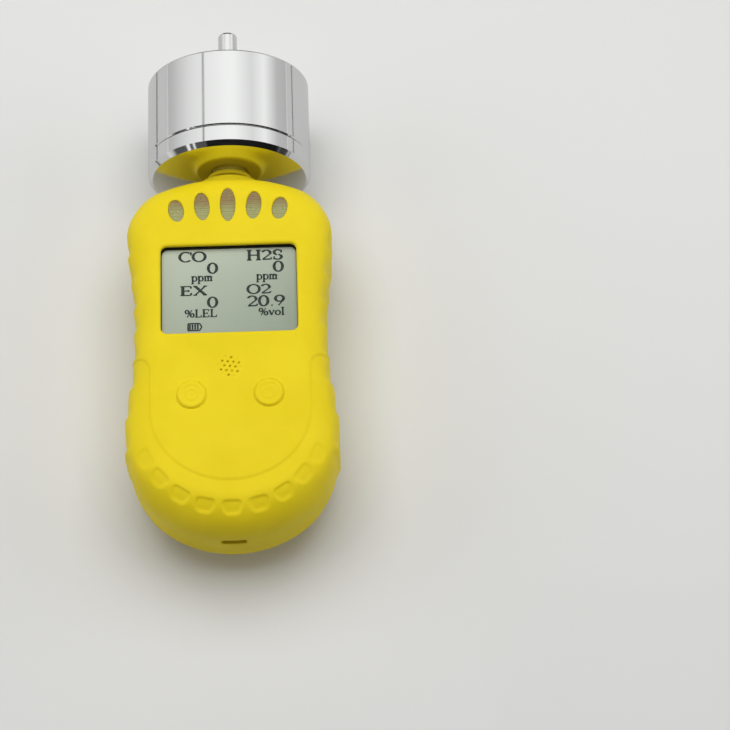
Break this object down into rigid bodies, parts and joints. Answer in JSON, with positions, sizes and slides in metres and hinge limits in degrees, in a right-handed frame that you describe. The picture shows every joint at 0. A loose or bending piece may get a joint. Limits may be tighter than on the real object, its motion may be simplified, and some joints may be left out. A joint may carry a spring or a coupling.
{
  "type": "portable gas detector",
  "caption": "Hand-held pumped multi-gas detector: soft-skinned waisted body with display, buttons and alarm windows, and a round metal sensor head with a hose nozzle.",
  "frame": {"origin": "under the middle of the whole object, on the surface it lies on when it rests on its back", "axes": "+Y from the charging end to the hose nozzle, +Z out of the front face with the display, +X to the right seen from the front"},
  "size_m": [0.0686, 0.1826, 0.054],
  "materials": {
    "yellow_silicone": "matte",
    "dark_plastic": "matte",
    "black_rubber": "matte",
    "screw_steel": "satin",
    "clear_window": "gloss",
    "display_glass": "satin",
    "white_plastic": "satin",
    "bright_steel": "satin",
    "lens_plastic": "satin",
    "led_resin": "gloss",
    "membrane": "matte",
    "switch_plastic": "matte",
    "circuit_board": "satin",
    "chip_plastic": "satin",
    "cell_wrap": "gloss",
    "cable_jacket": "satin",
    "clear_tube": "gloss",
    "chrome": "polished",
    "filter_paper": "matte",
    "sensor_white": "matte"
  },
  "bodies": {
    "detector_body": {"protective_boot": "yellow_silicone", "front_cover": "dark_plastic", "rear_cover": "dark_plastic", "switch_body_left": "dark_plastic", "switch_body_right": "dark_plastic", "buzzer": "dark_plastic", "pump_head": "dark_plastic", "exhaust_vent": "dark_plastic", "cover_seal": "black_rubber", "neck_seal": "black_rubber", "lcd_gasket": "black_rubber", "buzzer_gasket": "black_rubber", "cover_screws": "screw_steel", "board_screws": "screw_steel", "clip_screws": "screw_steel", "lcd_window": "clear_window", "lcd_module": "display_glass", "lcd_backlight": "white_plastic", "usb_tongue": "white_plastic", "battery_holder": "white_plastic", "lcd_bezel": "bright_steel", "usb_port": "bright_steel", "pump_motor": "bright_steel", "vibration_motor": "bright_steel", "sensor_sockets": "bright_steel", "neck_nut": "bright_steel", "clip_base": "bright_steel", "clip_pin": "bright_steel", "clip_spring": "bright_steel", "light_guide": "lens_plastic", "alarm_leds": "led_resin", "buzzer_membrane": "membrane", "main_board": "circuit_board", "sensor_board": "circuit_board", "board_components": "chip_plastic", "battery_cell": "cell_wrap", "sensor_cable": "cable_jacket", "pump_tube": "clear_tube", "head_base": "chrome", "sensor_co": "sensor_white", "sensor_h2s": "sensor_white", "sensor_ex": "sensor_white", "sensor_o2": "sensor_white"},
    "left_button": {"button_left": "yellow_silicone", "switch_stem_left": "switch_plastic"},
    "right_button": {"button_right": "yellow_silicone", "switch_stem_right": "switch_plastic"},
    "belt_clip": {"clip_lever": "bright_steel"},
    "cap_thread": {"head_seal": "black_rubber"},
    "sensor_cap": {"head_can": "chrome", "inlet_nozzle": "chrome", "nozzle_seal": "black_rubber", "filter_retainer": "bright_steel", "filter_disc": "filter_paper", "flow_gasket": "black_rubber"},
    "alarm_weight": {"vibration_weight": "bright_steel"},
    "pump_drive": {"pump_crank": "switch_plastic"}
  },
  "joints": [
    {"name": "left_button_press", "type": "slide", "parent": "detector_body", "child": "left_button", "axis": [0, 0, -1], "range_m": [0, 0.0008], "stiffness_N_per_m": 1200, "springref_m": -0.0003},
    {"name": "right_button_press", "type": "slide", "parent": "detector_body", "child": "right_button", "axis": [0, 0, -1], "range_m": [0, 0.0008], "stiffness_N_per_m": 1200, "springref_m": -0.0003},
    {"name": "belt_clip_hinge", "type": "hinge", "parent": "detector_body", "child": "belt_clip", "pos_m": [0, -0.004, 0.0055], "axis": [1, 0, 0], "range_deg": [0, 18], "stiffness_Nm_per_rad": 0.35, "springref_deg": -40.11, "deforming": ["clip_spring"]},
    {"name": "cap_turn", "type": "hinge", "parent": "detector_body", "child": "cap_thread", "pos_m": [0, 0.045, 0.027], "axis": [0, 1, 0], "range_deg": [0, 900]},
    {"name": "cap_travel", "type": "slide", "parent": "cap_thread", "child": "sensor_cap", "axis": [0, 1, 0], "range_m": [0, 0.00374]},
    {"name": "alarm_weight_spin", "type": "hinge", "parent": "detector_body", "child": "alarm_weight", "pos_m": [0.0226, -0.032, 0.0205], "axis": [0, 1, 0], "continuous": true},
    {"name": "pump_crank_spin", "type": "hinge", "parent": "detector_body", "child": "pump_drive", "pos_m": [-0.01, 0.0115, 0.0204], "axis": [1, 0, 0], "continuous": true}
  ],
  "couplings": [
    {"joint": "cap_turn", "follows": "cap_travel", "rad_per_m": 4188.8}
  ]
}
